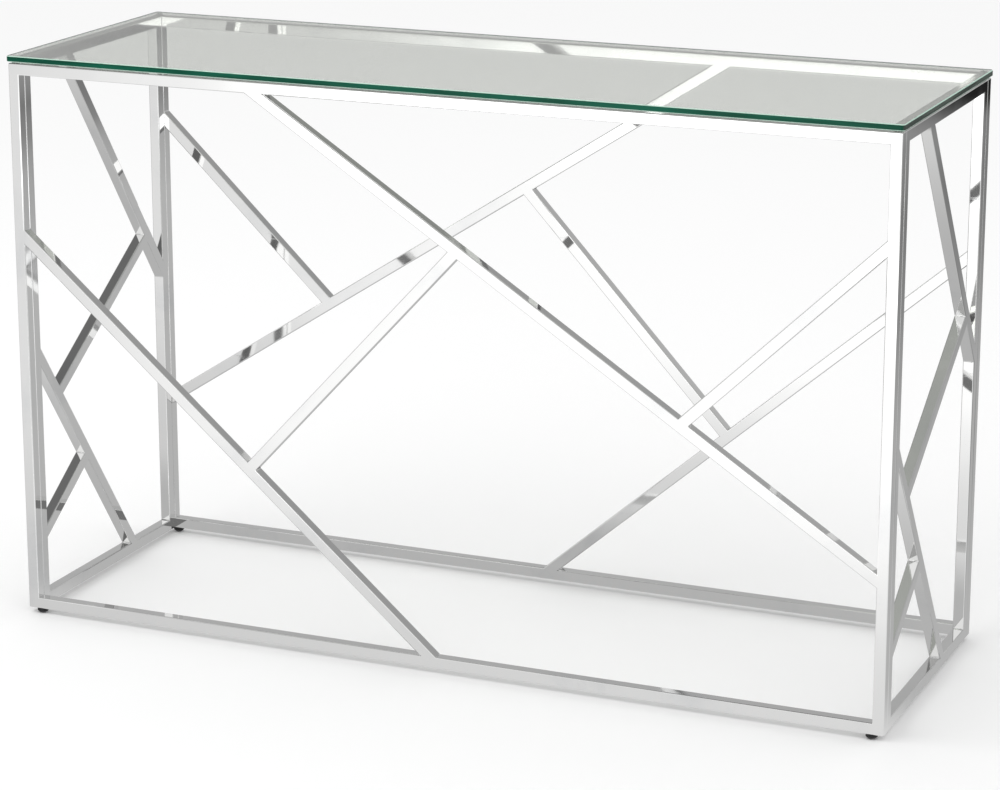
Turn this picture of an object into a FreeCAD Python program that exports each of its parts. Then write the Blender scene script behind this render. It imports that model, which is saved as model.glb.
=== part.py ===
import FreeCAD, Part
import os
import Sketcher

# Console table: four flat panels of polished square tube, two long ones and two short ones
# between them, with slanted braces, a glass top on clear pads, and four screw-in feet.
# Millimetres. Origin on the floor under the middle of the table, +X along it, -Y is the front.

SIZES = {
    # overall
    "table_length": 1200,
    "table_depth": 400,
    "table_height": 760,
    # glass top
    "glass_thickness": 8,
    "glass_overhang": 2,
    "glass_corner": 4,
    "glass_arris": 0.8,
    # clear pads between the frame and the glass
    "pad_height": 2,
    "pad_radius": 5,
    "pad_crown": 0.6,
    # square tube
    "tube_size": 15,
    "tube_wall": 1,
    # braces of the long panels: places as shares of the frame's length and height
    "long_brace_head": 0.288,
    "long_brace_heel": 0.258,
    "low_brace_head": 0.699,
    "low_brace_heel": 0.501,
    "link_brace_head": 0.528,
    "link_brace_heel": 0.282,
    "high_brace_head": 0.822,
    "high_brace_heel": 0.775,
    # braces of the end panels: the same, along them from their front post
    "upper_brace_head": 0.3,
    "upper_brace_heel": 0.513,
    "lower_brace_head": 0.476,
    "lower_brace_heel": 0.686,
    "rung_brace_head": 0.85,
    "rung_brace_heel": 0.158,
    "short_brace_head": 0.355,
    "short_brace_heel": 0.129,
    # levelling feet
    "foot_height": 7,
    "foot_inset": 17,
    "foot_radius": 7.5,
    "foot_sole_radius": 4.6,
    "foot_lip": 4,
    "foot_gap": 0.2,
    "stud_radius": 3,
    "stud_seat": 2.5,
    "stud_headroom": 2,
    "stud_tip": 0.8,
    "stud_clearance": 0.06,
    "nut_height": 5,
    "nut_corner_radius": 5.77,
    "rail_hole_clearance": 0.5,
}

doc = FreeCAD.newDocument("ConsoleTable")
sheet = doc.addObject("Spreadsheet::Sheet", "Sizes")
for row, (alias, number) in enumerate(SIZES.items(), start=1):
    sheet.set(f"A{row}", alias)
    sheet.set(f"B{row}", str(number))
    sheet.setAlias(f"B{row}", alias)
doc.recompute()

# Worked-out sizes, as expressions on the sheet
TUBE = "Sizes.tube_size"
HALF = "(Sizes.tube_size / 2)"
WALL = "Sizes.tube_wall"
FRAME_LENGTH = "(Sizes.table_length - 2 * Sizes.glass_overhang)"
FRAME_DEPTH = "(Sizes.table_depth - 2 * Sizes.glass_overhang)"
GLASS_FLOOR = "(Sizes.table_height - Sizes.glass_thickness)"
FRAME_TOP = "(Sizes.table_height - Sizes.glass_thickness - Sizes.pad_height)"
FRAME_HEIGHT = f"({FRAME_TOP} - Sizes.foot_height)"
END_LENGTH = f"({FRAME_DEPTH} - 2 * {TUBE})"

subparts = []


def place(x, y, z, axis="0; 0; 1", angle="0"):
    """Expression for a placement from three coordinates and a turn in degrees."""
    return f"placement(vector({x}; {y}; {z}); rotation(vector({axis}); {angle}))"


def keep(item, name):
    """Label a finished sub-part and list it for export."""
    item.Label = name
    subparts.append(item)
    return item


# ---------------------------------------------------------------- primitives

def block(name, length, width, height, where):
    box = doc.addObject("Part::Box", name)
    box.setExpression("Length", length)
    box.setExpression("Width", width)
    box.setExpression("Height", height)
    box.setExpression("Placement", where)
    return box


def rod(name, radius, height, where):
    cylinder = doc.addObject("Part::Cylinder", name)
    cylinder.setExpression("Radius", radius)
    cylinder.setExpression("Height", height)
    cylinder.setExpression("Placement", where)
    return cylinder


def cut(name, base, tool):
    result = doc.addObject("Part::Cut", name)
    result.Base = base
    result.Tool = tool
    return result


# ---------------------------------------------------------------- tube panels
# A panel lies in its own frame: x along it, y from its outer face inwards, z up from its foot.

PANELS = {
    "front": {
        "where": place(f"-{FRAME_LENGTH} / 2", f"-{FRAME_DEPTH} / 2", "Sizes.foot_height"),
        "length": FRAME_LENGTH,
        "posts": ("left", "right"),
    },
    "back": {
        "where": place(f"{FRAME_LENGTH} / 2", f"{FRAME_DEPTH} / 2", "Sizes.foot_height", angle="180"),
        "length": FRAME_LENGTH,
        "posts": ("right", "left"),
    },
    "left": {
        "where": place(f"-{FRAME_LENGTH} / 2 + {TUBE}", f"-{END_LENGTH} / 2", "Sizes.foot_height",
                       angle="90"),
        "length": END_LENGTH,
        "posts": ("front", "back"),
    },
    "right": {
        "where": place(f"{FRAME_LENGTH} / 2", f"-{END_LENGTH} / 2", "Sizes.foot_height", angle="90"),
        "length": END_LENGTH,
        "posts": ("front", "back"),
    },
}


def slope_angle(start, end):
    (x1, z1), (x2, z2) = start, end
    return f"-atan2({z2} - {z1}; {x2} - {x1})"


def span(start, end):
    (x1, z1), (x2, z2) = start, end
    return f"sqrt(({x2} - {x1})^2 + ({z2} - {z1})^2)"


def along(member, x):
    """Point on a member's middle line, at a distance x along the panel."""
    (x1, z1), (x2, z2) = member["start"], member["end"]
    return (x, f"({z1} + ({x} - {x1}) * ({z2} - {z1}) / ({x2} - {x1}))")


def tube(name, panel, start, end):
    """Square tube from one point of the panel's middle plane to another, open at both ends."""
    lay = place(start[0], "0", start[1], "0; 1; 0", slope_angle(start, end))
    length = span(start, end)
    solid = block(f"{name}_stock", length, TUBE, TUBE,
                  f"{panel['where']} * {lay} * {place('0', '0', f'-{HALF}')}")
    hollow = f"({TUBE} - 2 * {WALL})"
    bore = block(f"{name}_bore", f"{length} + 2 * {TUBE}", hollow, hollow,
                 f"{panel['where']} * {lay} * {place(f'-{TUBE}', WALL, f'-{HALF} + {WALL}')}")
    return {"name": name, "start": start, "end": end, "stock": solid,
            "shape": cut(f"{name}_tube", solid, bore)}


def trim(member, tools):
    """Cut a tube back to the pieces that it meets, and keep the result."""
    shape = member["shape"]
    for count, tool in enumerate(tools, start=1):
        last = count == len(tools)
        shape = cut(member["name"] if last else f"{member['name']}_trim{count}", shape, tool)
    return keep(shape, member["name"])


def mitre(name, panel, corner, angle, side):
    """Cutter with one face on a corner's diagonal, to one side of it."""
    lay = place(corner[0], "0", corner[1], "0; 1; 0", f"-{angle}")
    drop = "0" if side == "above" else f"-2 * {TUBE}"
    return block(name, f"4 * {TUBE}", f"3 * {TUBE}", f"2 * {TUBE}",
                 f"{panel['where']} * {lay} * {place(f'-{TUBE}', f'-{TUBE}', drop)}")


def outline(side, panel, holes=()):
    """The four mitred tubes round a panel, with holes bored in its bottom rail."""
    length = panel["length"]
    first, last = panel["posts"]
    low, high = HALF, f"({FRAME_HEIGHT} - {HALF})"
    near, far = HALF, f"({length} - {HALF})"
    tubes = {
        "bottom": tube(f"{side}_rail_bottom", panel, ("0", low), (length, low)),
        "top": tube(f"{side}_rail_top", panel, ("0", high), (length, high)),
        "first": tube(f"{side}_post_{first}", panel, (near, "0"), (near, FRAME_HEIGHT)),
        "last": tube(f"{side}_post_{last}", panel, (far, "0"), (far, FRAME_HEIGHT)),
    }
    corners = (
        ("bottom", "first", ("0", "0"), 45),
        ("last", "bottom", (length, "0"), 135),
        ("top", "last", (length, FRAME_HEIGHT), 225),
        ("first", "top", ("0", FRAME_HEIGHT), 315),
    )
    tools = {key: [] for key in tubes}
    for ahead, behind, corner, angle in corners:
        tools[ahead].append(mitre(f"{side}_mitre_{ahead}_a", panel, corner, angle, "above"))
        tools[behind].append(mitre(f"{side}_mitre_{behind}_b", panel, corner, angle, "below"))
    tools["bottom"].extend(holes)
    for key, member in tubes.items():
        trim(member, tools[key])
    return tubes


def brace(name, panel, start, end, meets):
    """Slanted tube between two members, cut to their faces."""
    member = tube(name, panel, start, end)
    trim(member, [other["stock"] for other in meets])
    return member


def across(panel, share):
    return f"({panel['length']} * Sizes.{share})"


def upward(share):
    return f"({FRAME_HEIGHT} * Sizes.{share})"


def long_panel(side, holes):
    panel = PANELS[side]
    tubes = outline(side, panel, holes)
    high = f"({FRAME_HEIGHT} - {HALF})"
    far = f"({panel['length']} - {HALF})"
    long_one = brace(f"{side}_brace_long", panel, (across(panel, "long_brace_head"), high),
                     (far, upward("long_brace_heel")), (tubes["top"], tubes["last"]))
    low_one = brace(f"{side}_brace_low", panel, (HALF, upward("low_brace_head")),
                    (across(panel, "low_brace_heel"), HALF), (tubes["first"], tubes["bottom"]))
    brace(f"{side}_brace_link", panel, along(low_one, across(panel, "link_brace_heel")),
          along(long_one, across(panel, "link_brace_head")), (low_one, long_one))
    brace(f"{side}_brace_high", panel, along(long_one, across(panel, "high_brace_heel")),
          (far, upward("high_brace_head")), (long_one, tubes["last"]))


def end_panel(side):
    panel = PANELS[side]
    tubes = outline(side, panel)
    high = f"({FRAME_HEIGHT} - {HALF})"
    far = f"({panel['length']} - {HALF})"
    upper = brace(f"{side}_brace_upper", panel, (across(panel, "upper_brace_head"), high),
                  (far, upward("upper_brace_heel")), (tubes["top"], tubes["last"]))
    lower = brace(f"{side}_brace_lower", panel, (HALF, upward("lower_brace_head")),
                  (across(panel, "lower_brace_heel"), HALF), (tubes["first"], tubes["bottom"]))
    brace(f"{side}_brace_rung", panel, along(lower, across(panel, "rung_brace_heel")),
          along(upper, across(panel, "rung_brace_head")), (lower, upper))
    brace(f"{side}_brace_short", panel, (HALF, upward("short_brace_heel")),
          along(lower, across(panel, "short_brace_head")), (tubes["first"], lower))


# ---------------------------------------------------------------- turned and flat pieces

def origin_plane(body, role):
    return next(item for item in body.Origin.OriginFeatures if item.Role == role)


def polygon(body, name, plane, points):
    """Closed sketch through points given as pairs of expressions; None is on that axis."""
    sketch = body.newObject("Sketcher::SketchObject", name)
    sketch.AttachmentSupport = (origin_plane(body, plane), [""])
    sketch.MapMode = "FlatFace"
    count = len(points)
    rough = [FreeCAD.Vector(index + 1, (index + 1) ** 2, 0) for index in range(count)]
    for index in range(count):
        sketch.addGeometry(Part.LineSegment(rough[index], rough[(index + 1) % count]), False)
    for index in range(count):
        sketch.addConstraint(Sketcher.Constraint("Coincident", index, 2, (index + 1) % count, 1))
    for index, (right, up) in enumerate(points):
        for kind, size, axis in (("DistanceX", right, -2), ("DistanceY", up, -1)):
            if size is None:
                sketch.addConstraint(Sketcher.Constraint("PointOnObject", index, 1, axis))
            else:
                number = sketch.addConstraint(Sketcher.Constraint(kind, -1, 1, index, 1, 1.0 + index))
                sketch.setExpression(f"Constraints[{number}]", size)
    return sketch


def turned(name, points, where):
    """Body turned round the vertical axis from a half outline."""
    body = doc.addObject("PartDesign::Body", name)
    profile = polygon(body, f"{name}_outline", "XZ_Plane", points)
    turn = body.newObject("PartDesign::Revolution", f"{name}_turn")
    turn.Profile = profile
    turn.ReferenceAxis = (profile, ["V_Axis"])
    turn.Angle = 360
    body.Tip = turn
    body.setExpression("Placement", where)
    doc.recompute()
    return body


def edges_where(feature, test):
    return [f"Edge{number}" for number, edge in enumerate(feature.Shape.Edges, start=1) if test(edge)]


def dress(body, kind, name, edges, size_name, size):
    """Fillet or chamfer the named edges of the body's last feature."""
    base = body.Tip
    feature = body.newObject(f"PartDesign::{kind}", name)
    feature.Base = (base, edges)
    feature.setExpression(size_name, size)
    body.Tip = feature
    doc.recompute()
    return feature


def glass_top():
    body = doc.addObject("PartDesign::Body", "glass_top")
    wide, deep = "Sizes.table_length / 2", "Sizes.table_depth / 2"
    sketch = polygon(body, "glass_outline", "XY_Plane", (
        (f"-{wide}", f"-{deep}"), (wide, f"-{deep}"), (wide, deep), (f"-{wide}", deep)))
    pad = body.newObject("PartDesign::Pad", "glass_pane")
    pad.Profile = sketch
    pad.setExpression("Length", "Sizes.glass_thickness")
    body.Tip = pad
    doc.recompute()
    upright = edges_where(pad, lambda edge: abs(edge.tangentAt(edge.FirstParameter).z) > 0.9)
    dress(body, "Fillet", "glass_corners", upright, "Radius", "Sizes.glass_corner")
    flat = edges_where(body.Tip, lambda edge: abs(edge.BoundBox.ZLength) < 1e-6)
    dress(body, "Chamfer", "glass_arrises", flat, "Size", "Sizes.glass_arris")
    body.setExpression("Placement", place("0", "0", GLASS_FLOOR))
    keep(body, "glass_top")


def glass_pad(corner, x, y):
    """Clear pad on a corner of the frame, with a bevelled crown under the glass."""
    radius, height, crown = "Sizes.pad_radius", "Sizes.pad_height", "Sizes.pad_crown"
    body = turned(f"glass_pad_{corner}", (
        (None, None), (radius, None), (radius, f"{height} - {crown}"),
        (f"{radius} - {crown}", height), (None, height)), place(x, y, FRAME_TOP))
    keep(body, f"glass_pad_{corner}")


def foot_pad(corner, x, y):
    """Black foot: a straight lip, a tapered sole and a blind hole for the stud."""
    top = "(Sizes.foot_height - Sizes.foot_gap)"
    hole = "(Sizes.stud_radius + Sizes.stud_clearance)"
    body = turned(f"foot_pad_{corner}", (
        (None, None), ("Sizes.foot_sole_radius", None),
        ("Sizes.foot_radius", f"{top} - Sizes.foot_lip"), ("Sizes.foot_radius", top),
        (hole, top), (hole, "Sizes.stud_seat"), (None, "Sizes.stud_seat")), place(x, y, "0"))
    keep(body, f"foot_pad_{corner}")


def foot_stud(corner, x, y):
    """Threaded stud, seated in the foot, with a bevelled tip below the rail's upper wall."""
    radius, tip = "Sizes.stud_radius", "Sizes.stud_tip"
    end = f"(Sizes.foot_height + {TUBE} - {WALL} - Sizes.stud_headroom - Sizes.stud_seat)"
    body = turned(f"foot_stud_{corner}", (
        (None, None), (radius, None), (radius, f"{end} - {tip}"),
        (f"{radius} - {tip}", end), (None, end)), place(x, y, "Sizes.stud_seat"))
    keep(body, f"foot_stud_{corner}")


def weld_nut(corner, x, y):
    """Hexagon nut on the inside of the bottom rail's lower wall."""
    seat = place(x, y, f"Sizes.foot_height + {WALL}")
    prism = doc.addObject("Part::Prism", f"nut_hexagon_{corner}")
    prism.Polygon = 6
    prism.setExpression("Circumradius", "Sizes.nut_corner_radius")
    prism.setExpression("Height", "Sizes.nut_height")
    prism.setExpression("Placement", seat)
    thread = rod(f"nut_thread_{corner}", "Sizes.stud_radius + Sizes.stud_clearance",
                 "Sizes.nut_height", seat)
    return cut(f"weld_nut_{corner}", prism, thread)


def rail_hole(corner, x, y):
    return rod(f"rail_hole_{corner}", "Sizes.stud_radius + Sizes.rail_hole_clearance", f"3 * {WALL}",
               place(x, y, f"Sizes.foot_height - {WALL}"))


# ---------------------------------------------------------------- the table

def corner_points(inset):
    """Corner names with the x and y of a point on the long panels' middle line."""
    wide = f"({FRAME_LENGTH} / 2 - {inset})"
    deep = f"({FRAME_DEPTH} / 2 - {HALF})"
    return {
        "front_left": (f"-{wide}", f"-{deep}"),
        "front_right": (wide, f"-{deep}"),
        "back_left": (f"-{wide}", deep),
        "back_right": (wide, deep),
    }


feet = corner_points("Sizes.foot_inset")
holes = {corner: rail_hole(corner, x, y) for corner, (x, y) in feet.items()}
long_panel("front", [holes["front_left"], holes["front_right"]])
long_panel("back", [holes["back_left"], holes["back_right"]])
end_panel("left")
end_panel("right")

for corner, (x, y) in feet.items():
    foot_pad(corner, x, y)
    foot_stud(corner, x, y)
nuts = doc.addObject("Part::Compound", "weld_nuts")
nuts.Links = [weld_nut(corner, x, y) for corner, (x, y) in feet.items()]
keep(nuts, "weld_nuts")

for corner, (x, y) in corner_points(HALF).items():
    glass_pad(corner, x, y)
glass_top()

doc.recompute()

broken = [item.Name for item in doc.Objects if {"Invalid", "Error"} & set(item.State)]
for item in subparts:
    if item.Shape.isNull() or not item.Shape.isValid() or not item.Shape.Solids:
        broken.append(item.Label)
if broken:
    raise RuntimeError("not built: " + ", ".join(broken))

os.makedirs("parts", exist_ok=True)
for item in subparts:
    item.Shape.exportStep(f"parts/{item.Label}.step")
print(len(subparts), "sub-parts written")
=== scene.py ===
# Console table in polished square tube with a glass top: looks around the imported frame.
import math

import bmesh
import bpy
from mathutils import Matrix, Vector


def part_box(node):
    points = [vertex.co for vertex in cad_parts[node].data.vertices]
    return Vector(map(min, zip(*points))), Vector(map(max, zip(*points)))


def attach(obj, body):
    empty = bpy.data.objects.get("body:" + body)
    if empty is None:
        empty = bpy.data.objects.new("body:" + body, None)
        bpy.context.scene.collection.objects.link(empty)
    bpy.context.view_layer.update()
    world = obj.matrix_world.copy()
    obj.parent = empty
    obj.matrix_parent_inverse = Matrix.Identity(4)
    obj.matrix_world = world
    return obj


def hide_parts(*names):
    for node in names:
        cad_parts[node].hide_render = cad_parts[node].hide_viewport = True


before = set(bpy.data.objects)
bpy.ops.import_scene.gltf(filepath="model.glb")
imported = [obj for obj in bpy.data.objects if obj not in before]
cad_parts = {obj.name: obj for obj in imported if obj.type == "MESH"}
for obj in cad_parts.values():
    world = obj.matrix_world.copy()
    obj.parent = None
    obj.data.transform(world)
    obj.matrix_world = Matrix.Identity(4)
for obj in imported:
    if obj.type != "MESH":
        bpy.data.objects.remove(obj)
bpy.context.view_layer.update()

scene = bpy.context.scene
corners = ("front_left", "front_right", "back_left", "back_right")
print("frame loaded:", len(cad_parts), "nodes")


# small helpers for meshes

def newObject(name, data):
    thing = bpy.data.objects.new(name, data)
    scene.collection.objects.link(thing)
    return thing


def meshObject(name, vertices, edges, faces):
    mesh = bpy.data.meshes.new(name)
    mesh.from_pydata(vertices, edges, faces)
    mesh.update()
    return newObject(name, mesh)


def finished(thing):
    # the evaluated shape as a plain mesh, with every modifier taken off
    graph = bpy.context.evaluated_depsgraph_get()
    mesh = bpy.data.meshes.new_from_object(thing.evaluated_get(graph))
    mesh.name = thing.name
    thing.modifiers.clear()
    thing.data = mesh


def oneMaterial(thing, material):
    thing.data.materials.clear()
    thing.data.materials.append(material)
    for face in thing.data.polygons:
        face.material_index = 0


def facesOut(thing, inward=False):
    shape = bmesh.new()
    shape.from_mesh(thing.data)
    bmesh.ops.remove_doubles(shape, verts=shape.verts, dist=1e-6)
    bmesh.ops.recalc_face_normals(shape, faces=shape.faces)
    if inward:
        bmesh.ops.reverse_faces(shape, faces=shape.faces)
    shape.to_mesh(thing.data)
    shape.free()


def smoothSlopes(thing, steepest):
    # smooth shading, with crisp edges where two faces meet at more than that many degrees
    for face in thing.data.polygons:
        face.use_smooth = True
    shape = bmesh.new()
    shape.from_mesh(thing.data)
    for edge in shape.edges:
        if len(edge.link_faces) == 2 and edge.calc_face_angle() > math.radians(steepest):
            edge.smooth = False
    shape.to_mesh(thing.data)
    shape.free()


def joined(name, things):
    shape = bmesh.new()
    for thing in things:
        shape.from_mesh(thing.data)
    mesh = bpy.data.meshes.new(name)
    shape.to_mesh(mesh)
    shape.free()
    for material in things[0].data.materials:
        mesh.materials.append(material)
    for thing in things:
        bpy.data.objects.remove(thing)
    return newObject(name, mesh)


millimetre = 0.001


def bottomMiddle(low, high):
    return Vector(((low.x + high.x) / 2, (low.y + high.y) / 2, low.z))


def lathe(name, outline, place, around=48):
    # closed turned shape; outline runs from the axis at the bottom to the axis at the top
    onAxis = 1e-7
    vertices, faces, rows = [], [], []
    for radius, height in outline:
        if radius < onAxis:
            vertices.append((place.x, place.y, place.z + height))
            rows.append([len(vertices) - 1] * around)
            continue
        row = []
        for step in range(around):
            angle = 2 * math.pi * step / around
            vertices.append((place.x + radius * math.cos(angle),
                             place.y + radius * math.sin(angle), place.z + height))
            row.append(len(vertices) - 1)
        rows.append(row)
    for low, high in zip(rows, rows[1:]):
        for step in range(around):
            after = (step + 1) % around
            ring = [low[step], low[after], high[after], high[step]]
            faces.append(tuple(dict.fromkeys(ring)))    # a triangle where one row is a point
    return meshObject(name, vertices, [], faces)


# small helpers for node trees

def feed(tree, value, socket):
    # a socket gets linked, a plain value gets set
    if isinstance(value, bpy.types.NodeSocket):
        tree.links.new(value, socket)
    else:
        socket.default_value = value


def nodeAt(tree, kind, inputs=None, **settings):
    node = tree.nodes.new(kind)
    for key, value in settings.items():
        setattr(node, key, value)
    for key, value in (inputs or {}).items():
        feed(tree, value, node.inputs[key])
    return node


def maths(tree, operation, *values):
    return nodeAt(tree, "ShaderNodeMath", dict(enumerate(values)), operation=operation).outputs[0]


def ranged(tree, value, fromLow, fromHigh, toLow=0, toHigh=1, smooth=True):
    node = nodeAt(tree, "ShaderNodeMapRange", {
        "Value": value, "From Min": fromLow, "From Max": fromHigh, "To Min": toLow, "To Max": toHigh,
    }, interpolation_type="SMOOTHSTEP" if smooth else "LINEAR")
    return node.outputs["Result"]


def mixTones(tree, factor, first, second):
    return nodeAt(tree, "ShaderNodeMix", {"Factor": factor, "A": first, "B": second}).outputs["Result"]


def mixColours(tree, factor, first, second):
    node = nodeAt(tree, "ShaderNodeMix", {"Factor": factor}, data_type="RGBA")
    colours = {"A": first, "B": second}
    for socket in node.inputs:
        if socket.type == "RGBA":
            feed(tree, colours[socket.name], socket)
    return next(socket for socket in node.outputs if socket.type == "RGBA")


# camera

view = {
    "aim": (0.009, 0.0, 0.388),
    "azimuth": 23.11,
    "elevation": 14.85,
    "distance": 4.167,
    "lens": 115.0,
    "sensor": 36.0,
    "shift": (0.0, -0.050),
}


def makeCamera():
    turn, rise = math.radians(view["azimuth"]), math.radians(view["elevation"])
    back = Vector((math.sin(turn) * math.cos(rise), -math.cos(turn) * math.cos(rise), math.sin(rise)))
    data = bpy.data.cameras.new("camera")
    data.lens = view["lens"]
    data.sensor_width = view["sensor"]
    data.shift_x, data.shift_y = view["shift"]
    camera = newObject("camera", data)
    camera.location = Vector(view["aim"]) + back * view["distance"]
    camera.rotation_mode = "QUATERNION"
    camera.rotation_quaternion = (-back).to_track_quat("-Z", "Y")
    scene.camera = camera


# floor, sky and light: plain to the eye, with painted reflection tones that only polished and glass faces
# show

def bounceCount(tree):
    # how often a ray has been thrown back by a polished or glass surface; 0 on any other ray
    path = nodeAt(tree, "ShaderNodeLightPath").outputs
    notDiffuse = maths(tree, "SUBTRACT", 1.0, path["Is Diffuse Ray"])
    return maths(tree, "MULTIPLY", path["Glossy Depth"], notDiffuse)


def plainOrPaintedReflection(tree, bounces, plain, paintedReflection, outputKind):
    # plain for camera and diffuse rays, painted reflection tones for rays off polished or glass faces
    factor = maths(tree, "MINIMUM", bounces, 1.0)
    both = nodeAt(tree, "ShaderNodeMixShader", {0: factor, 1: plain.outputs[0], 2: paintedReflection.outputs[0]})
    nodeAt(tree, outputKind, {"Surface": both.outputs[0]})


def tonesAlong(tree, value, steps):
    # a tone that follows a value through (place, tone) steps; the ramp holds half of each tone
    low, high = steps[0][0], steps[-1][0]
    ramp = nodeAt(tree, "ShaderNodeValToRGB", {"Fac": ranged(tree, value, low, high, smooth=False)})
    marks = ramp.color_ramp.elements
    for place, tone in steps[1:-1]:
        marks.new((place - low) / (high - low))
    for mark, (place, tone) in zip(marks, steps):
        mark.position = (place - low) / (high - low)
        mark.color = (tone / 2, tone / 2, tone / 2, 1)
    grey = nodeAt(tree, "ShaderNodeRGBToBW", {"Color": ramp.outputs["Color"]})
    return maths(tree, "MULTIPLY", grey.outputs["Val"], 2.0)


def bandOf(tree, value, riseStart, riseEnd, fallStart, fallEnd):
    # 1 between the two slopes, 0 outside them
    rise = ranged(tree, value, riseStart, riseEnd)
    return maths(tree, "MULTIPLY", rise, ranged(tree, value, fallStart, fallEnd, 1, 0))


floorPaper = {
    "side": 60.0,
    "tone": 0.93,
    # painted reflection tones in front, which change from line to line in a fan of lines through fanCentre;
    # one set close to the table, one farther off that grows brighter in a sector and then fades
    "fanCentre": (1.59, 3.30),
    "frontNear": ((0.2, 0.77), (0.62, 0.64)),
    "frontFar": ((0.38, 1.12), (0.45, 1.09), (0.52, 1.00), (0.57, 0.91), (0.60, 0.82), (0.62, 0.78)),
    "nearToFar": (-0.25, -1.2),
    "boost": 0.9,
    "boostInFan": (0.55, 0.45),
    "boostAway": (-2.2, -3.4),
    "fade": 0.35,
    "fadeAway": (-4.4, -7.0),
    # painted reflection tones behind, by distance to the right, with a nearly black corner far out, a
    # painted dark reflection
    "behind": ((0.60, 0.47), (0.80, 0.42), (0.95, 0.40), (1.17, 0.25), (1.40, 0.19), (1.65, 0.28)),
    "corner": 0.015,
    "cornerAcross": (1.45, 1.62, 2.2, 2.7),
    "cornerAway": (3.45, 4.1, 4.6, 5.5),
    "secondBounce": 0.38,
    "bounceStep": (1.4, 1.6),
    "backToFront": (0.0, -0.25),
}


# painted reflection: tones the floor shows only to rays that come off polished or glass faces
def paintedFloorReflection(tree, bounces):
    place = nodeAt(tree, "ShaderNodeTexCoord").outputs["Object"]
    split = nodeAt(tree, "ShaderNodeSeparateXYZ", {"Vector": place})
    x, y = split.outputs["X"], split.outputs["Y"]
    centreX, centreY = floorPaper["fanCentre"]
    fan = maths(tree, "DIVIDE", maths(tree, "SUBTRACT", centreX, x), maths(tree, "SUBTRACT", centreY, y))
    inFan = ranged(tree, fan, *floorPaper["boostInFan"], 0, floorPaper["boost"])
    boost = maths(tree, "MULTIPLY_ADD", inFan, ranged(tree, y, *floorPaper["boostAway"]), 1.0)
    far = maths(tree, "MULTIPLY", tonesAlong(tree, fan, floorPaper["frontFar"]), boost)
    faded = maths(tree, "MULTIPLY", far, ranged(tree, y, *floorPaper["fadeAway"], 1, floorPaper["fade"]))
    near = tonesAlong(tree, fan, floorPaper["frontNear"])
    front = mixTones(tree, ranged(tree, y, *floorPaper["nearToFar"]), near, faded)
    across = bandOf(tree, x, *floorPaper["cornerAcross"])
    away = bandOf(tree, y, *floorPaper["cornerAway"])
    side = tonesAlong(tree, x, floorPaper["behind"])
    back = mixTones(tree, maths(tree, "MULTIPLY", across, away), side, floorPaper["corner"])
    dulled = ranged(tree, bounces, *floorPaper["bounceStep"], 1, floorPaper["secondBounce"])
    again = maths(tree, "MULTIPLY", back, dulled)
    return mixTones(tree, ranged(tree, y, *floorPaper["backToFront"]), again, front)


def makeFloor():
    half = floorPaper["side"] / 2
    outline = [(-half, -half, 0), (half, -half, 0), (half, half, 0), (-half, half, 0)]
    floor = meshObject("floor", outline, [], [(0, 1, 2, 3)])
    paper = bpy.data.materials.new("studioPaper")
    paper.use_nodes = True
    tree = paper.node_tree
    tree.nodes.clear()
    bounces = bounceCount(tree)
    matte = nodeAt(tree, "ShaderNodeBsdfDiffuse", {"Color": (floorPaper["tone"],) * 3 + (1,)})
    # painted reflection: for those rays the floor glows with the set tones instead of lying matte
    paintedFloorGlow = nodeAt(tree, "ShaderNodeEmission", {"Strength": paintedFloorReflection(tree, bounces)})
    plainOrPaintedReflection(tree, bounces, matte, paintedFloorGlow, "ShaderNodeOutputMaterial")
    floor.data.materials.append(paper)


sky = {
    "light": 1.0,
    # painted reflection tones by height, 0 level and 1 straight up
    "behind": ((0.0, 0.55), (0.26, 0.50), (0.45, 0.32), (0.65, 0.34), (1.0, 0.44)),
    "front": ((0.0, 0.70), (0.3, 0.90), (0.5, 0.55), (0.75, 0.44), (1.0, 0.44)),
    "backToFront": (0.1, -0.5),
    "leftDim": 0.36,
    "leftward": (-0.30, -0.45),
    "rising": (0.4, 0.6),
}


# painted reflection: tones the sky shows only to rays off polished or glass faces, dimmer to the left up
# high
def paintedSkyReflection(tree):
    toward = nodeAt(tree, "ShaderNodeTexCoord").outputs["Generated"]
    split = nodeAt(tree, "ShaderNodeSeparateXYZ", {"Vector": toward})
    x, y, z = (split.outputs[axis] for axis in "XYZ")
    leftDim = ranged(tree, x, *sky["leftward"], 1, sky["leftDim"])
    dimmed = mixTones(tree, ranged(tree, z, *sky["rising"]), 1.0, leftDim)
    behind, front = tonesAlong(tree, z, sky["behind"]), tonesAlong(tree, z, sky["front"])
    around = mixTones(tree, ranged(tree, y, *sky["backToFront"]), behind, front)
    return maths(tree, "MULTIPLY", around, dimmed)


def makeSky():
    world = bpy.data.worlds.new("studioSky")
    world.use_nodes = True
    scene.world = world
    tree = world.node_tree
    tree.nodes.clear()
    white = (1, 1, 1, 1)
    plain = nodeAt(tree, "ShaderNodeBackground", {"Color": white, "Strength": sky["light"]})
    paintedReflection = nodeAt(tree, "ShaderNodeBackground", {"Color": white, "Strength": paintedSkyReflection(tree)})
    plainOrPaintedReflection(tree, bounceCount(tree), plain, paintedReflection, "ShaderNodeOutputWorld")


softbox = {
    "power": 22.0,
    "size": (3.0, 2.0),
    "place": (-1.2, -1.4, 3.0),
    "aim": (0.0, 0.0, 0.4),
}


def makeSoftbox():
    data = bpy.data.lights.new("softbox", "AREA")
    data.shape = "RECTANGLE"
    data.size, data.size_y = softbox["size"]
    data.energy = softbox["power"]
    lamp = newObject("softbox", data)
    lamp.location = softbox["place"]
    lamp.rotation_mode = "QUATERNION"
    lamp.rotation_quaternion = (Vector(softbox["aim"]) - lamp.location).to_track_quat("-Z", "Y")
    lamp.visible_glossy = False
    lamp.visible_camera = False


scene.view_settings.view_transform = "Standard"
makeCamera()
makeFloor()
makeSky()
makeSoftbox()
print("camera and stage made")


# shader groups that several finishes share

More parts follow.
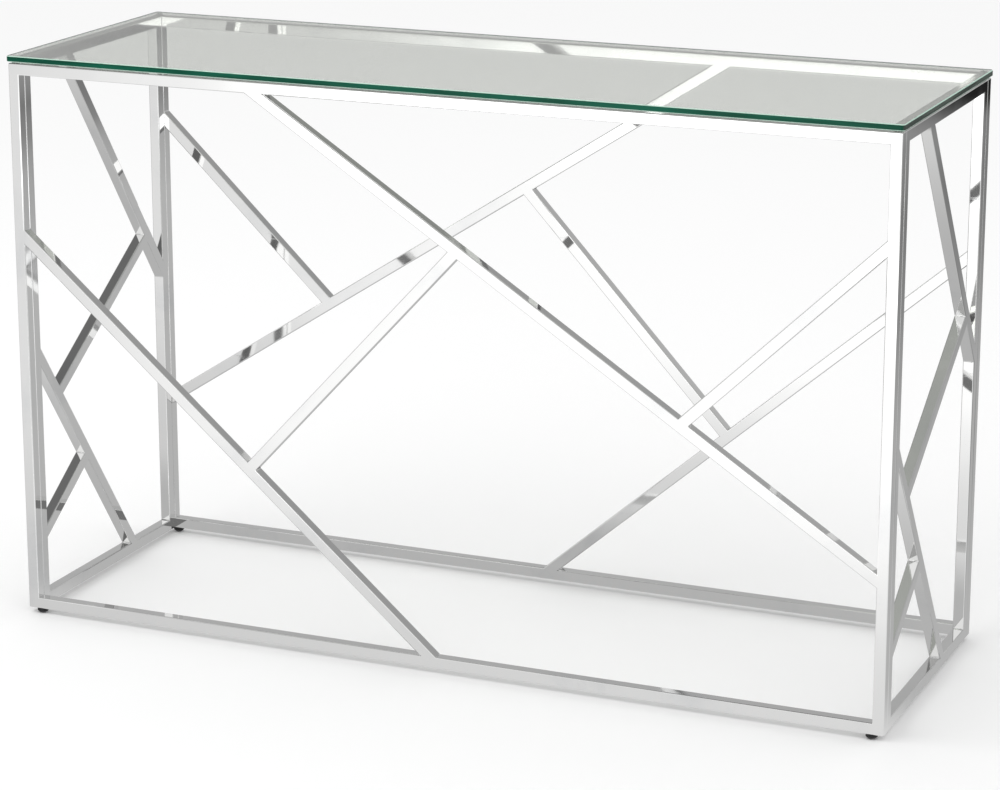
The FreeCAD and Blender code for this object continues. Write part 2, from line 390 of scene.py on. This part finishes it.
def shaderGroup(name, inputs, outputs):
    group = bpy.data.node_groups.new(name, "ShaderNodeTree")
    for key, value in inputs.items():
        socket = group.interface.new_socket(key, in_out="INPUT", socket_type="NodeSocketFloat")
        socket.default_value = value
    for key, kind in outputs.items():
        group.interface.new_socket(key, in_out="OUTPUT", socket_type=kind)
    return group, group.nodes.new("NodeGroupInput").outputs, group.nodes.new("NodeGroupOutput").inputs


handling = {
    "smudgeEdge": (0.5, 0.72),      # where in the noise a mark begins, and where it is full
    "lineEdge": (0.6, 0.68),
    "lineTurn": (0.3, 0.5, 0.7),
    "lineStretch": (0.06, 1.0, 1.0),
}


def handlingGroup():
    # soft finger smudges and thin wipe lines on anything polished
    group, given, out = shaderGroup(
        "handlingMarks", {"Smudge Scale": 6.0, "Line Scale": 60.0},
        {"Smudge": "NodeSocketFloat", "Lines": "NodeSocketFloat"})
    place = nodeAt(group, "ShaderNodeTexCoord").outputs["Object"]
    cloud = nodeAt(group, "ShaderNodeTexNoise", {
        "Vector": place, "Scale": given["Smudge Scale"], "Detail": 5.0, "Roughness": 0.55,
        "Distortion": 0.4})
    feed(group, ranged(group, cloud.outputs["Fac"], *handling["smudgeEdge"]), out["Smudge"])
    stretched = nodeAt(group, "ShaderNodeMapping", {
        "Vector": place, "Rotation": handling["lineTurn"], "Scale": handling["lineStretch"]})
    lines = nodeAt(group, "ShaderNodeTexNoise", {
        "Vector": stretched.outputs["Vector"], "Scale": given["Line Scale"], "Detail": 6.0,
        "Roughness": 0.7})
    feed(group, ranged(group, lines.outputs["Fac"], *handling["lineEdge"]), out["Lines"])
    return group


def rippleGroup():
    # the slow waves that buffing leaves in thin drawn tube
    group, given, out = shaderGroup(
        "buffingRipple", {"Scale": 12.0, "Height": 0.0003}, {"Normal": "NodeSocketVector"})
    place = nodeAt(group, "ShaderNodeTexCoord").outputs["Object"]
    waves = nodeAt(group, "ShaderNodeTexNoise", {
        "Vector": place, "Scale": given["Scale"], "Detail": 1.0, "Roughness": 0.4})
    bump = nodeAt(group, "ShaderNodeBump", {
        "Strength": 1.0, "Distance": given["Height"], "Height": waves.outputs["Fac"]})
    feed(group, bump.outputs["Normal"], out["Normal"])
    return group


handlingMarks = handlingGroup()
buffingRipple = rippleGroup()


def handled(tree, finish):
    # the handling marks at the scales of one finish
    scales = {"Smudge Scale": finish["smudgeScale"], "Line Scale": finish["lineScale"]}
    return nodeAt(tree, "ShaderNodeGroup", scales, node_tree=handlingMarks).outputs


def freshMaterial(name, **plain):
    material = bpy.data.materials.new(name)
    material.use_nodes = True
    tree = material.node_tree
    shader = tree.nodes["Principled BSDF"].inputs
    for key, value in plain.items():
        shader[key.replace("_", " ")].default_value = value
    return material, tree, shader


def handledFinish(name, finish, **plain):
    # colour and roughness shift at finger smudges, and roughness at wipe lines too
    material, tree, shader = freshMaterial(name, **plain)
    marks = handled(tree, finish)
    feed(tree, mixColours(tree, marks["Smudge"], finish["clean"], finish["marked"]), shader["Base Color"])
    base, atSmudge, atLine = finish["roughness"]
    rough = maths(tree, "MULTIPLY_ADD", marks["Smudge"], atSmudge, base)
    feed(tree, maths(tree, "MULTIPLY_ADD", marks["Lines"], atLine, rough), shader["Roughness"])
    return material, tree, shader


def grained(tree, shader, finish, heights):
    bump = nodeAt(tree, "ShaderNodeBump", {
        "Strength": finish["grainStrength"], "Distance": finish["grainDepth"], "Height": heights})
    feed(tree, bump.outputs["Normal"], shader["Normal"])


mirrorSteel = {
    "clean": (0.93, 0.93, 0.925, 1),
    "marked": (0.85, 0.855, 0.86, 1),
    "roughness": (0.03, 0.05, 0.07),    # all over, then what smudges and wipe lines add to it
    "smudgeScale": 7.0,
    "lineScale": 70.0,
}


def mirrorSteelMaterial():
    material, tree, shader = handledFinish("mirrorSteel", mirrorSteel, Metallic=1.0)
    ripple = nodeAt(tree, "ShaderNodeGroup", node_tree=buffingRipple)
    feed(tree, ripple.outputs["Normal"], shader["Normal"])
    return material


steel = mirrorSteelMaterial()
print("shared finishes made")


# Geometry Nodes helpers

def geometryTree(name, inputs):
    tree = bpy.data.node_groups.new(name, "GeometryNodeTree")
    tree.interface.new_socket("Geometry", in_out="INPUT", socket_type="NodeSocketGeometry")
    for key, kind in inputs.items():
        tree.interface.new_socket(key, in_out="INPUT", socket_type=kind)
    tree.interface.new_socket("Geometry", in_out="OUTPUT", socket_type="NodeSocketGeometry")
    return tree, tree.nodes.new("NodeGroupInput").outputs


def together(tree, *shapes):
    both = nodeAt(tree, "GeometryNodeJoinGeometry")
    for shape in shapes:
        tree.links.new(shape, both.inputs[0])
    return both.outputs[0]


def moved(tree, shape, place):
    return nodeAt(tree, "GeometryNodeTransform", {"Geometry": shape, "Translation": place}).outputs[0]


def endTree(tree, shape, material):
    real = nodeAt(tree, "GeometryNodeRealizeInstances", {"Geometry": shape})
    dressed = nodeAt(tree, "GeometryNodeSetMaterial", {"Geometry": real.outputs[0], "Material": material})
    nodeAt(tree, "NodeGroupOutput", {"Geometry": dressed.outputs[0]})


def grow(thing, tree, **values):
    # put a Geometry Nodes modifier on with its inputs, by socket identifier
    modifier = thing.modifiers.new(tree.name, "NODES")
    modifier.node_group = tree
    for item in tree.interface.items_tree:
        if item.item_type == "SOCKET" and item.in_out == "INPUT" and item.name in values:
            modifier[item.identifier] = values[item.name]


# the four tube panels

panels = {
    "wall": 0.001,
    "edgeRound": 0.0013,
    "edgeSteps": 3,
    "edgeAngle": 20,        # degrees past which an edge is rounded
    "studHole": 0.0035,
    "drillSteps": 32,
    "drillBelow": 0.002,    # how far under the rail the drill starts
    "drillLength": 0.005,
    "longBraces": {     # each from one point to another, as shares of the panel's length and height
        "long": ((0.288, "top"), ("end", 0.258)),
        "low": (("start", 0.699), (0.501, "bottom")),
        "link": ((0.282, "low"), (0.528, "long")),
        "high": ((0.775, "long"), ("end", 0.822)),
    },
    "longOpenings": (   # the braces round each opening, and on which side of them it lies
        {"long": 1, "high": 1}, {"long": 1, "high": -1},
        {"long": -1, "low": 1, "link": 1}, {"long": -1, "low": 1, "link": -1}, {"low": -1},
    ),
    "endBraces": {
        "upper": ((0.3, "top"), ("end", 0.513)),
        "lower": (("start", 0.476), (0.686, "bottom")),
        "rung": ((0.158, "lower"), (0.85, "upper")),
        "short": (("start", 0.129), (0.355, "lower")),
    },
    "endOpenings": (
        {"upper": 1}, {"upper": -1, "lower": 1, "rung": 1}, {"upper": -1, "lower": 1, "rung": -1},
        {"lower": -1, "short": 1}, {"lower": -1, "short": -1},
    ),
}


def braceLines(braces, length, height, half):
    # middle line of every brace in the panel's own plane
    lines = {}

    def point(mark):
        across, up = mark
        if across == "start":
            return Vector((half, up * height))
        if across == "end":
            return Vector((length - half, up * height))
        if up in ("top", "bottom"):
            return Vector((across * length, height - half if up == "top" else half))
        start, end = lines[up]
        share = (across * length - start.x) / (end.x - start.x)
        return start.lerp(end, share)

    for name, (first, last) in braces.items():
        lines[name] = (point(first), point(last))
    return lines


def keepSide(outline, line, side, offset):
    # cut a convex outline along one edge of a brace and keep the part on that side
    start, end = line
    along = (end - start).normalized()
    across = Vector((-along.y, along.x)) * side
    kept = []
    for here, after in zip(outline, outline[1:] + outline[:1]):
        hereOut = (here - start).dot(across) - offset
        afterOut = (after - start).dot(across) - offset
        if hereOut >= 0:
            kept.append(here)
        if hereOut * afterOut < 0:
            kept.append(here.lerp(after, hereOut / (hereOut - afterOut)))
    return kept


def panelLoops(kind, length, height, tube, inset):
    # outer outline and openings; inset moves every face inwards, for the hollow of the tubes
    half = tube / 2
    lines = braceLines(panels[kind + "Braces"], length, height, half)

    def rectangle(edge):
        return [Vector((edge, edge)), Vector((length - edge, edge)),
                Vector((length - edge, height - edge)), Vector((edge, height - edge))]

    loops = [rectangle(inset)]
    for sides in panels[kind + "Openings"]:
        outline = rectangle(tube - inset)
        for name, side in sides.items():
            outline = keepSide(outline, lines[name], side, half - inset)
        loops.append(outline)
    return loops


def loopsObject(name, loops):
    vertices, edges = [], []
    for loop in loops:
        first = len(vertices)
        vertices += [(point.x, point.y, 0) for point in loop]
        edges += [(first + step, first + (step + 1) % len(loop)) for step in range(len(loop))]
    return meshObject(name, vertices, edges, [])


def panelTree():
    # flat loops become a plate with openings, as thick as the tube, stood up in its place
    tree, given = geometryTree("tubePanel", {
        "Depth": "NodeSocketFloat", "Start": "NodeSocketFloat", "Base": "NodeSocketVector",
        "Turn": "NodeSocketFloat", "Material": "NodeSocketMaterial"})
    curves = nodeAt(tree, "GeometryNodeMeshToCurve", {"Mesh": given["Geometry"]})
    plate = nodeAt(tree, "GeometryNodeFillCurve", {"Curve": curves.outputs["Curve"]}, mode="NGONS")
    behind = nodeAt(tree, "ShaderNodeCombineXYZ", {"Z": -1.0})
    thick = nodeAt(tree, "GeometryNodeExtrudeMesh", {
        "Mesh": plate.outputs[0], "Offset": behind.outputs[0], "Offset Scale": given["Depth"],
        "Individual": False})
    both = together(tree, plate.outputs[0], thick.outputs["Mesh"])
    welded = nodeAt(tree, "GeometryNodeMergeByDistance", {"Geometry": both, "Distance": 1e-6})
    inward = nodeAt(tree, "ShaderNodeCombineXYZ", {"Z": maths(tree, "MULTIPLY", given["Start"], -1.0)})
    shifted = moved(tree, welded.outputs[0], inward.outputs[0])
    turn = nodeAt(tree, "ShaderNodeCombineXYZ", {"X": math.pi / 2, "Z": given["Turn"]})
    stood = nodeAt(tree, "GeometryNodeTransform", {
        "Geometry": shifted, "Rotation": turn.outputs[0], "Translation": given["Base"]})
    endTree(tree, stood.outputs[0], given["Material"])
    return tree


tubePanel = panelTree()


def makePlate(name, loops, tube, inset, base, turn):
    thing = loopsObject(name, loops)
    grow(thing, tubePanel, Depth=tube - 2 * inset, Start=inset, Base=base, Turn=turn, Material=steel)
    finished(thing)
    facesOut(thing, inward=inset > 0)
    oneMaterial(thing, steel)
    return thing


def roundEdges(thing):
    # rounds the long edges; only the rounding is shaded smooth, so the flats stay true mirrors
    roundingSlot = len(thing.data.materials)
    thing.data.materials.append(steel)
    bevel = thing.modifiers.new("round", "BEVEL")
    bevel.width, bevel.segments = panels["edgeRound"], panels["edgeSteps"]
    bevel.limit_method, bevel.angle_limit = "ANGLE", math.radians(panels["edgeAngle"])
    bevel.material = roundingSlot
    finished(thing)
    for face in thing.data.polygons:
        face.use_smooth = face.material_index == roundingSlot
    oneMaterial(thing, steel)


def drillStudHoles(panel, side, bottom):
    radius, length = panels["studHole"], panels["drillLength"]
    drills = []
    for corner in corners:
        if corner.startswith(side):
            place = bottomMiddle(*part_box("foot_stud_" + corner))
            place.z = bottom - panels["drillBelow"]
            outline = [(0, 0), (radius, 0), (radius, length), (0, length)]
            drills.append(lathe("drill", outline, place, panels["drillSteps"]))
    drill = joined("drills", drills)
    facesOut(drill)
    hole = panel.modifiers.new("hole", "BOOLEAN")
    hole.object, hole.operation, hole.solver = drill, "DIFFERENCE", "EXACT"
    finished(panel)
    oneMaterial(panel, steel)
    bpy.data.objects.remove(drill)


def makePanel(side, kind, turn):
    low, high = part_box(side + "_rail_bottom")
    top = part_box(side + "_rail_top")[1]
    tube = high.z - low.z
    length = max(high.x - low.x, high.y - low.y)
    height = top.z - low.z
    base = {0: (low.x, low.y), 90: (high.x, low.y), 180: (high.x, high.y)}[turn] + (low.z,)
    shells = []
    for name, inset in (("_skin", 0), ("_hollow", panels["wall"])):
        loops = panelLoops(kind, length, height, tube, inset)
        shells.append(makePlate(side + name, loops, tube, inset, base, math.radians(turn)))
    roundEdges(shells[0])
    panel = joined(side + "_panel", shells)
    if kind == "long":
        drillStudHoles(panel, side, low.z)
    nodes = [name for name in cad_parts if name.startswith(side + "_")]
    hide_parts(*nodes)
    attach(panel, "root")
    print(side, "panel:", len(panel.data.polygons), "faces,", len(nodes), "tubes")


for side, turn in (("front", 0), ("back", 180)):
    makePanel(side, "long", turn)
for side in ("left", "right"):
    makePanel(side, "end", 90)


# glass top

pane = {
    "cornerRound": 0.004,
    "cornerSteps": 8,
    "cornerFace": 0.00001,      # square metres; only the narrow faces round the corners are smaller
    "arris": 0.0010,
    "flat": 0.9,                # how much a face looks up or down, for the large faces and the edge
    "upright": 0.1,
    "tint": (0.89, 0.915, 0.865, 1),
    "smudgeScale": 4.0,
    "lineScale": 30.0,
    "smudgeRoughness": 0.035,
    "lineRoughness": 0.02,
    "edgeDeep": (0.0012, 0.050, 0.027, 1),
    "edgeLight": (0.0045, 0.100, 0.058, 1),
    # painted shade of the short ends, darker and greyer than the long sides
    "endShadeDeep": (0.035, 0.050, 0.042, 1),
    "endShadeLight": (0.085, 0.105, 0.092, 1),
    "endBegins": 0.003,         # how far in from the short ends their greyer tone, a painted shade, starts and is full
    "endFull": 0.0005,
    "bandStretch": (9.0, 9.0, 160.0),
    "noiseEdge": (0.3, 0.7),
    "grindRoughness": (0.10, 0.22),
}
# painted highlight: the chamfer's pale mint colour stands for the bright line it shows
arrisHighlight = {
    "clean": (0.50, 0.70, 0.60, 1),
    "marked": (0.36, 0.56, 0.46, 1),
    "roughness": (0.35, 0.0, 0.0),
    "smudgeScale": 90.0,
    "lineScale": 400.0,
}


def paneMaterial():
    # the large faces: clear float glass with faint finger marks
    material, tree, shader = freshMaterial(
        "floatGlass", IOR=1.52, Transmission_Weight=1.0, Base_Color=pane["tint"])
    marks = handled(tree, pane)
    smudge = maths(tree, "MULTIPLY", marks["Smudge"], pane["smudgeRoughness"])
    rough = maths(tree, "MULTIPLY_ADD", marks["Lines"], pane["lineRoughness"], smudge)
    feed(tree, rough, shader["Roughness"])
    return material


def paneEdgeMaterial(endX):
    # the polished edge, where light that has crossed the whole pane comes out deep green
    material, tree, shader = freshMaterial("glassEdge", Specular_IOR_Level=0.1, IOR=1.52)
    place = nodeAt(tree, "ShaderNodeTexCoord").outputs["Object"]
    stretched = nodeAt(tree, "ShaderNodeMapping", {"Vector": place, "Scale": pane["bandStretch"]})
    bands = nodeAt(tree, "ShaderNodeTexNoise", {
        "Vector": stretched.outputs["Vector"], "Scale": 1.0, "Detail": 4.0, "Roughness": 0.6})
    depth = ranged(tree, bands.outputs["Fac"], *pane["noiseEdge"])
    sides = mixColours(tree, depth, pane["edgeDeep"], pane["edgeLight"])
    # painted shade: the short ends get a darker, greyer tone than the long sides
    ends = mixColours(tree, depth, pane["endShadeDeep"], pane["endShadeLight"])
    split = nodeAt(tree, "ShaderNodeSeparateXYZ", {"Vector": place})
    along = maths(tree, "ABSOLUTE", split.outputs["X"])
    atShadedEnd = ranged(tree, along, endX - pane["endBegins"], endX - pane["endFull"])
    feed(tree, mixColours(tree, atShadedEnd, sides, ends), shader["Base Color"])
    grind = nodeAt(tree, "ShaderNodeTexNoise", {"Vector": place, "Scale": 900.0, "Detail": 2.0})
    rough = ranged(tree, grind.outputs["Fac"], *pane["noiseEdge"], *pane["grindRoughness"])
    feed(tree, rough, shader["Roughness"])
    return material


def paneArrisHighlight():
    # the narrow chamfer, painted pale mint as a painted highlight: the bright line it shows
    return handledFinish("paintedHighlightArris", arrisHighlight, IOR=1.52)[0]


def roundedOutline(low, high, radius, inset, steps):
    points = []
    turn = radius - inset
    centres = ((high.x - radius, high.y - radius, 0), (low.x + radius, high.y - radius, 90),
               (low.x + radius, low.y + radius, 180), (high.x - radius, low.y + radius, 270))
    for x, y, start in centres:
        for step in range(steps + 1):
            angle = math.radians(start + 90 * step / steps)
            points.append((x + turn * math.cos(angle), y + turn * math.sin(angle)))
    return points


def makePane():
    low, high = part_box("glass_top")
    arris = pane["arris"]
    levels = ((arris, low.z), (0, low.z + arris), (0, high.z - arris), (arris, high.z))
    vertices, rows = [], []
    for inset, height in levels:
        ring = roundedOutline(low, high, pane["cornerRound"], inset, pane["cornerSteps"])
        rows.append(range(len(vertices), len(vertices) + len(ring)))
        vertices += [(x, y, height) for x, y in ring]
    faces = [tuple(reversed(rows[0])), tuple(rows[-1])]
    count = len(rows[0])
    for lower, upper in zip(rows, rows[1:]):
        for step in range(count):
            after = (step + 1) % count
            faces.append((lower[step], lower[after], upper[after], upper[step]))
    glass = meshObject("glass_pane", vertices, [], faces)
    for material in (paneMaterial(), paneEdgeMaterial(high.x), paneArrisHighlight()):
        glass.data.materials.append(material)
    for face in glass.data.polygons:
        lean = abs(face.normal.z)
        face.material_index = 0 if lean > pane["flat"] else (1 if lean < pane["upright"] else 2)
        face.use_smooth = lean < pane["flat"] and face.area < pane["cornerFace"]
    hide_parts("glass_top")
    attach(glass, "root")
    print("glass pane made")


makePane()


# clear pads under the glass

bumpers = {
    "profile": ((0, 0), (4.7, 0), (5.0, 0.25), (5.0, 0.8), (4.75, 1.3), (4.1, 1.75), (3.0, 1.96), (0, 2.0)),
    "crispAngle": 35,
}
clearPad = {
    "clean": (0.80, 0.84, 0.81, 1),
    "marked": (0.62, 0.65, 0.62, 1),
    "roughness": (0.22, 0.0, 0.2),
    "smudgeScale": 200.0,
    "lineScale": 800.0,
}


def fitted(profile, low, high):
    # a profile in millimetres stretched to the height and width of a node
    tall = max(height for radius, height in profile)
    wide = max(radius for radius, height in profile)
    across, up = (high.x - low.x) / 2 / wide, (high.z - low.z) / tall
    return [(radius * across, height * up) for radius, height in profile]


def makePad(corner, plastic):
    low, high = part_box("glass_pad_" + corner)
    pad = lathe("bumper_" + corner, fitted(bumpers["profile"], low, high), bottomMiddle(low, high))
    facesOut(pad)
    smoothSlopes(pad, bumpers["crispAngle"])
    pad.data.materials.append(plastic)
    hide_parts("glass_pad_" + corner)
    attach(pad, "root")


padPlastic = handledFinish("clearPad", clearPad, IOR=1.45, Transmission_Weight=0.85)[0]
for corner in corners:
    makePad(corner, padPlastic)
print("pads made")


# levelling feet: moulded foot with a ribbed lip, and a threaded stud

feet = {        # profile and widest radius in millimetres, other lengths in metres
    "profile": ((0, 0), (4.1, 0), (4.5, 0.12), (4.75, 0.45), (5.6, 1.3), (6.9, 2.55), (7.2, 2.85),
                (7.26, 3.1), (7.26, 6.1), (7.1, 6.5), (6.7, 6.75), (6.2, 6.8), (3.5, 6.8), (3.2, 6.7),
                (3.07, 6.4), (3.07, 2.5), (0, 2.5)),
    "around": 72,
    "crispAngle": 40,
    "wide": 7.5,
    "ribs": 36,
    "ribSides": 8,
    "ribRadius": 0.00028,
    "ribHeight": 0.0027,
    "lipHeight": 0.0046,
}
mouldedBlack = {
    "clean": (0.010, 0.010, 0.011, 1),
    "marked": (0.030, 0.030, 0.031, 1),
    "roughness": (0.42, 0.0, 0.18),
    "smudgeScale": 160.0,
    "lineScale": 500.0,
    "grainScale": 3500.0,
    "grainStrength": 0.5,
    "grainDepth": 0.00003,
}
stud = {        # core in millimetres, other lengths in metres
    "core": ((0, 0), (1.9, 0), (2.45, 0.5), (2.45, 15.9), (1.9, 16.5), (0, 16.5)),
    "around": 40,
    "crispAngle": 40,
    "pitch": 0.001,
    "crest": 0.00297,
    "root": 0.0024,
    "ends": 0.0009,
}
zincPlate = {
    "clean": (0.60, 0.61, 0.62, 1),
    "marked": (0.42, 0.43, 0.44, 1),
    "roughness": (0.28, 0.0, 0.22),
    "smudgeScale": 120.0,
    "lineScale": 600.0,
    "grainScale": 1500.0,
    "grainStrength": 0.4,
    "grainDepth": 0.00002,
}


def ribTree():
    # upright ribs round a lip, added to the turned body that comes in
    tree, given = geometryTree("ribRing", {
        "Count": "NodeSocketInt", "Ring": "NodeSocketFloat", "Rib": "NodeSocketFloat",
        "Height": "NodeSocketFloat", "Centre": "NodeSocketVector", "Material": "NodeSocketMaterial"})
    ring = nodeAt(tree, "GeometryNodeMeshCircle", {"Vertices": given["Count"], "Radius": given["Ring"]})
    rib = nodeAt(tree, "GeometryNodeMeshCylinder", {
        "Vertices": feet["ribSides"], "Radius": given["Rib"], "Depth": given["Height"]})
    copies = nodeAt(tree, "GeometryNodeInstanceOnPoints", {
        "Points": ring.outputs["Mesh"], "Instance": rib.outputs["Mesh"]})
    raised = moved(tree, copies.outputs[0], given["Centre"])
    endTree(tree, together(tree, given["Geometry"], raised), given["Material"])
    return tree


def threadTree():
    # a ridge that follows a helix, added to the turned core that comes in
    tree, given = geometryTree("screwThread", {
        "Turns": "NodeSocketFloat", "Length": "NodeSocketFloat", "Radius": "NodeSocketFloat",
        "Ridge": "NodeSocketFloat", "Base": "NodeSocketVector", "Material": "NodeSocketMaterial"})
    helix = nodeAt(tree, "GeometryNodeCurveSpiral", {
        "Resolution": stud["around"], "Rotations": given["Turns"], "Start Radius": given["Radius"],
        "End Radius": given["Radius"], "Height": given["Length"]})
    ridge = nodeAt(tree, "GeometryNodeCurvePrimitiveCircle", {"Resolution": 4, "Radius": given["Ridge"]})
    swept = nodeAt(tree, "GeometryNodeCurveToMesh", {
        "Curve": helix.outputs["Curve"], "Profile Curve": ridge.outputs["Curve"], "Fill Caps": True})
    raised = moved(tree, swept.outputs[0], given["Base"])
    endTree(tree, together(tree, given["Geometry"], raised), given["Material"])
    return tree


def mouldedBlackMaterial():
    material, tree, shader = handledFinish("mouldedBlack", mouldedBlack, Specular_IOR_Level=0.4)
    place = nodeAt(tree, "ShaderNodeTexCoord").outputs["Object"]
    grain = nodeAt(tree, "ShaderNodeTexVoronoi", {"Vector": place, "Scale": mouldedBlack["grainScale"]})
    grained(tree, shader, mouldedBlack, grain.outputs["Distance"])
    return material


def zincPlateMaterial():
    material, tree, shader = handledFinish("zincPlate", zincPlate, Metallic=1.0)
    place = nodeAt(tree, "ShaderNodeTexCoord").outputs["Object"]
    pits = nodeAt(tree, "ShaderNodeTexNoise", {
        "Vector": place, "Scale": zincPlate["grainScale"], "Detail": 3.0})
    grained(tree, shader, zincPlate, pits.outputs["Fac"])
    return material


ribRing, screwThread = ribTree(), threadTree()
footPlastic, zinc = mouldedBlackMaterial(), zincPlateMaterial()


def makeFoot(corner):
    low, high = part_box("foot_pad_" + corner)
    middle = bottomMiddle(low, high)
    wide = (high.x - low.x) / 2
    outline = [(radius * wide / feet["wide"], height * millimetre) for radius, height in feet["profile"]]
    foot = lathe("foot_" + corner, outline, middle, feet["around"])
    facesOut(foot)
    grow(foot, ribRing, Count=feet["ribs"], Ring=wide - feet["ribRadius"], Rib=feet["ribRadius"],
         Height=feet["ribHeight"], Centre=middle + Vector((0, 0, feet["lipHeight"])), Material=footPlastic)
    finished(foot)
    oneMaterial(foot, footPlastic)
    smoothSlopes(foot, feet["crispAngle"])
    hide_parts("foot_pad_" + corner)
    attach(foot, "foot_pad_" + corner)


def makeStud(corner):
    low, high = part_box("foot_stud_" + corner)
    middle = bottomMiddle(low, high)
    outline = [(radius * millimetre, height * millimetre) for radius, height in stud["core"]]
    screw = lathe("stud_" + corner, outline, middle, stud["around"])
    facesOut(screw)
    length = high.z - low.z - 2 * stud["ends"]
    grow(screw, screwThread, Turns=length / stud["pitch"], Length=length, Radius=stud["root"],
         Ridge=stud["crest"] - stud["root"], Base=middle + Vector((0, 0, stud["ends"])), Material=zinc)
    finished(screw)
    oneMaterial(screw, zinc)
    smoothSlopes(screw, stud["crispAngle"])
    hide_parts("foot_stud_" + corner)
    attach(screw, "foot_stud_" + corner)


for corner in corners:
    makeFoot(corner)
    makeStud(corner)
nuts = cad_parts["weld_nuts"]
nuts.data.materials.clear()
nuts.data.materials.append(zinc)
print("feet, studs and nuts made")
